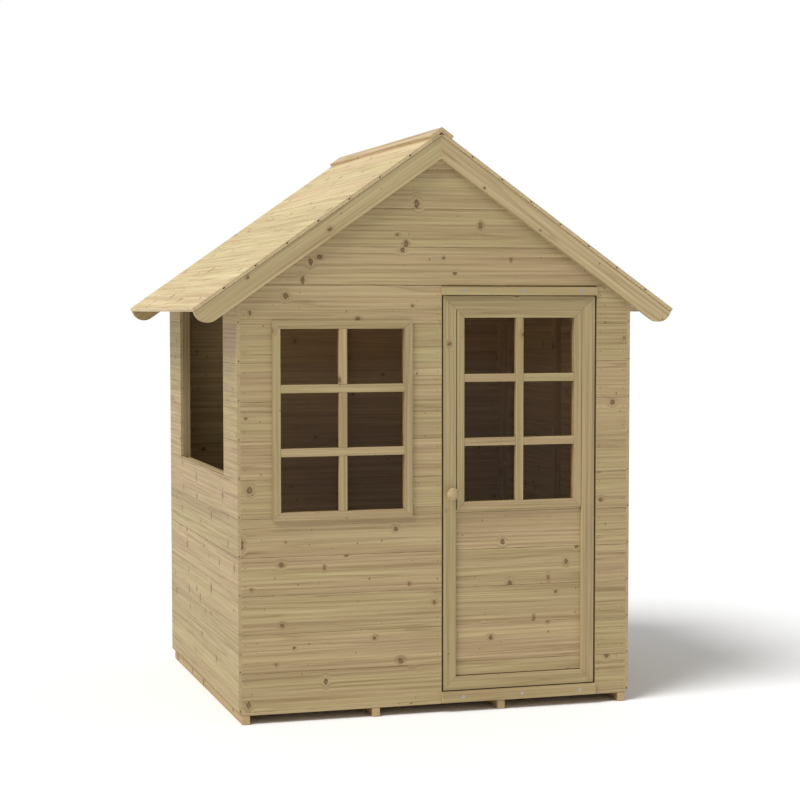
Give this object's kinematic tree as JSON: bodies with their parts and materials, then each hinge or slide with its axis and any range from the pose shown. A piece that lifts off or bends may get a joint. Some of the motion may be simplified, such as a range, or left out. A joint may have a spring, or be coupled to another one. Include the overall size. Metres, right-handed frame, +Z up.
{
  "type": "wooden playhouse",
  "caption": "Gabled garden playhouse of tongue-and-groove softwood panels, with a glazed window, a half-glazed hinged door, a side serving opening, a plank roof and a boarded floor on bearers.",
  "frame": {"origin": "centre of the overall outline seen from above, on the ground under the floor bearers", "axes": "+Z up, +Y from the door side towards the back wall, +X to the right seen from the door side"},
  "size_m": [1.252, 1.008, 1.465],
  "materials": {
    "wall_boards": "planed pressure-treated softwood",
    "roof_boards": "planed pressure-treated softwood",
    "floor_boards": "planed pressure-treated softwood",
    "battens": "sawn and planed softwood battens",
    "trim": "planed softwood trim",
    "knob_wood": "turned softwood",
    "glazing": "clear polystyrene sheet",
    "zinc_steel": "zinc-plated steel",
    "magnet": "matt ferrite"
  },
  "bodies": {
    "house": {"front_left_boards": "wall_boards", "front_right_boards": "wall_boards", "back_boards": "wall_boards", "right_boards": "wall_boards", "left_lower_boards": "wall_boards", "left_front_boards": "wall_boards", "left_rear_boards": "wall_boards", "front_gable_boards": "wall_boards", "back_gable_boards": "wall_boards", "roof_boards_left": "roof_boards", "roof_boards_right": "roof_boards", "ridge_cap_left": "roof_boards", "ridge_cap_right": "roof_boards", "floor_boards": "floor_boards", "floor_bearer_left": "battens", "floor_bearer_mid_left": "battens", "floor_bearer_mid_right": "battens", "floor_bearer_right": "battens", "front_left_frame": "battens", "front_right_frame": "battens", "back_frame": "battens", "left_wall_frame": "battens", "right_wall_frame": "battens", "front_gable_frame": "battens", "back_gable_frame": "battens", "roof_battens_left": "battens", "roof_battens_right": "battens", "opening_sill_batten": "battens", "opening_jambs": "battens", "door_head_rail": "battens", "threshold_rail": "battens", "window_beads": "battens", "barge_board_front_left": "trim", "barge_board_front_right": "trim", "barge_board_back_left": "trim", "barge_board_back_right": "trim", "header_batten": "trim", "sill_batten": "trim", "window_trim": "trim", "window_bars": "trim", "window_glazing": "glazing", "facing_screws": "zinc_steel", "hinge_frame_leaves": "zinc_steel", "hinge_pins": "zinc_steel", "hinge_frame_screws": "zinc_steel", "panel_screws": "zinc_steel", "batten_screws": "zinc_steel", "catch_magnet": "magnet"},
    "door": {"door_boards": "wall_boards", "door_trim": "trim", "door_window_trim": "trim", "door_window_bars": "trim", "door_glazing": "glazing", "door_beads": "battens", "door_frame": "battens", "door_knob": "knob_wood", "knob_screw": "zinc_steel", "hinge_door_leaves": "zinc_steel", "door_hardware_screws": "zinc_steel", "catch_plate": "zinc_steel"}
  },
  "joints": [
    {"name": "door_hinge", "type": "hinge", "parent": "house", "child": "door", "pos_m": [0.41925, -0.445, 0.552], "axis": [0, 0, -1], "range_deg": [0, 95]}
  ]
}
